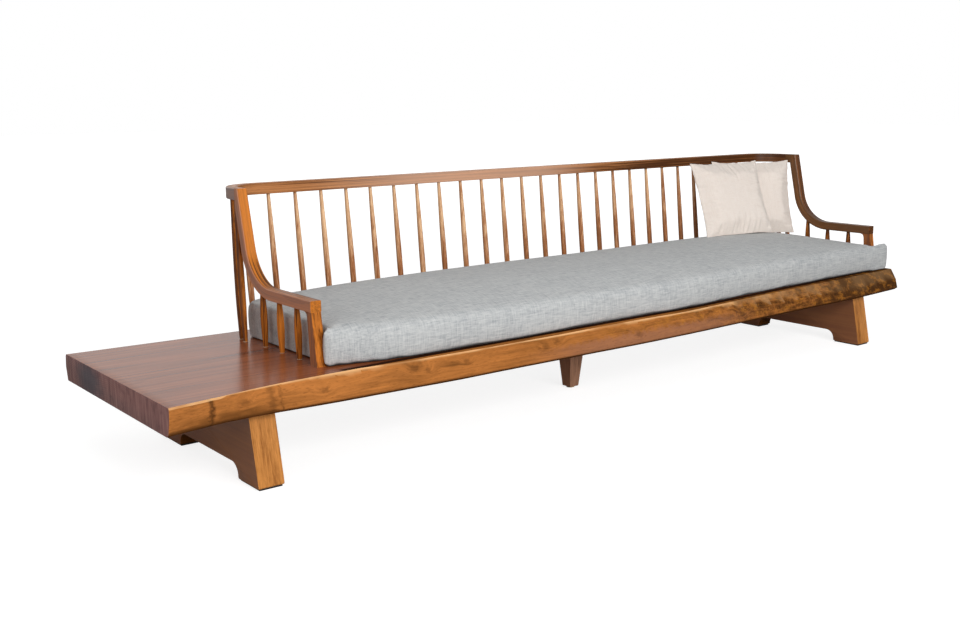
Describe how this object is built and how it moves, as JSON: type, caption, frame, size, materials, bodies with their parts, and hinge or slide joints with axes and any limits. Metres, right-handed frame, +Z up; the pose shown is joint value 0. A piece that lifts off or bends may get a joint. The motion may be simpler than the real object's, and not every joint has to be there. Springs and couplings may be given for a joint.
{
  "type": "sofa",
  "caption": "Long live-edge wood slab sofa on plank legs, with a spindle back and arms, a box seat cushion, loose pillows and an open table end.",
  "frame": {"origin": "on the floor, under the middle of the slab's length and depth", "axes": "+X along the length towards the cushioned end away from the open table end, -Y the way a sitter faces, +Z up"},
  "size_m": [3.5, 0.812, 0.8],
  "materials": {
    "slab_wood": "oiled satin, golden brown live edge and red-brown top",
    "leg_wood": "oiled satin",
    "centre_leg_wood": "oiled satin, darker",
    "rail_wood": "oiled satin",
    "arm_wood": "oiled satin",
    "post_wood": "oiled satin",
    "spindle_wood": "oiled satin",
    "dowel_wood": "plain, unseen",
    "leg_pad": "matte dark pad",
    "glide": "pale, matte",
    "cushion_fabric": "slubbed blue-grey weave",
    "pillow_fabric": "warm off-white linen weave"
  },
  "bodies": {
    "frame": {"slab": "slab_wood", "left_plank_leg": "leg_wood", "right_plank_leg": "leg_wood", "centre_leg": "centre_leg_wood", "plank_leg_dowels": "dowel_wood", "left_leg_pads": "leg_pad", "right_leg_pads": "leg_pad", "centre_leg_glide": "glide", "crest_rail": "rail_wood", "left_arm": "arm_wood", "right_arm": "arm_wood", "left_front_post": "post_wood", "right_front_post": "post_wood", "crest_dowels": "dowel_wood", "armrest_dowels": "dowel_wood", "back_spindle_1": "spindle_wood", "back_spindle_2": "spindle_wood", "back_spindle_3": "spindle_wood", "back_spindle_4": "spindle_wood", "back_spindle_5": "spindle_wood", "back_spindle_6": "spindle_wood", "back_spindle_7": "spindle_wood", "back_spindle_8": "spindle_wood", "back_spindle_9": "spindle_wood", "back_spindle_10": "spindle_wood", "back_spindle_11": "spindle_wood", "back_spindle_12": "spindle_wood", "back_spindle_13": "spindle_wood", "back_spindle_14": "spindle_wood", "back_spindle_15": "spindle_wood", "back_spindle_16": "spindle_wood", "back_spindle_17": "spindle_wood", "back_spindle_18": "spindle_wood", "back_spindle_19": "spindle_wood", "back_spindle_20": "spindle_wood", "back_spindle_21": "spindle_wood", "back_spindle_22": "spindle_wood", "back_spindle_23": "spindle_wood", "back_spindle_24": "spindle_wood", "back_spindle_25": "spindle_wood", "back_spindle_26": "spindle_wood", "back_spindle_27": "spindle_wood", "left_corner_spindle_1": "spindle_wood", "left_corner_spindle_2": "spindle_wood", "right_corner_spindle_1": "spindle_wood", "right_corner_spindle_2": "spindle_wood", "left_arm_spindle_1": "spindle_wood", "left_arm_spindle_2": "spindle_wood", "left_arm_spindle_3": "spindle_wood", "right_arm_spindle_1": "spindle_wood", "right_arm_spindle_2": "spindle_wood", "right_arm_spindle_3": "spindle_wood"},
    "cushion": {"seat_cushion": "cushion_fabric"},
    "corner_pillow_body": {"corner_pillow": "pillow_fabric"},
    "front_pillow_body": {"front_pillow": "pillow_fabric"}
  },
  "joints": [
    {"name": "cushion_lift", "type": "slide", "parent": "frame", "child": "cushion", "axis": [0, 0, 1], "range_m": [0, 0.25]},
    {"name": "corner_pillow_lift", "type": "slide", "parent": "cushion", "child": "corner_pillow_body", "axis": [0, 0, 1], "range_m": [0, 0.3]},
    {"name": "front_pillow_lift", "type": "slide", "parent": "corner_pillow_body", "child": "front_pillow_body", "axis": [0, 0, 1], "range_m": [0, 0.3]}
  ]
}
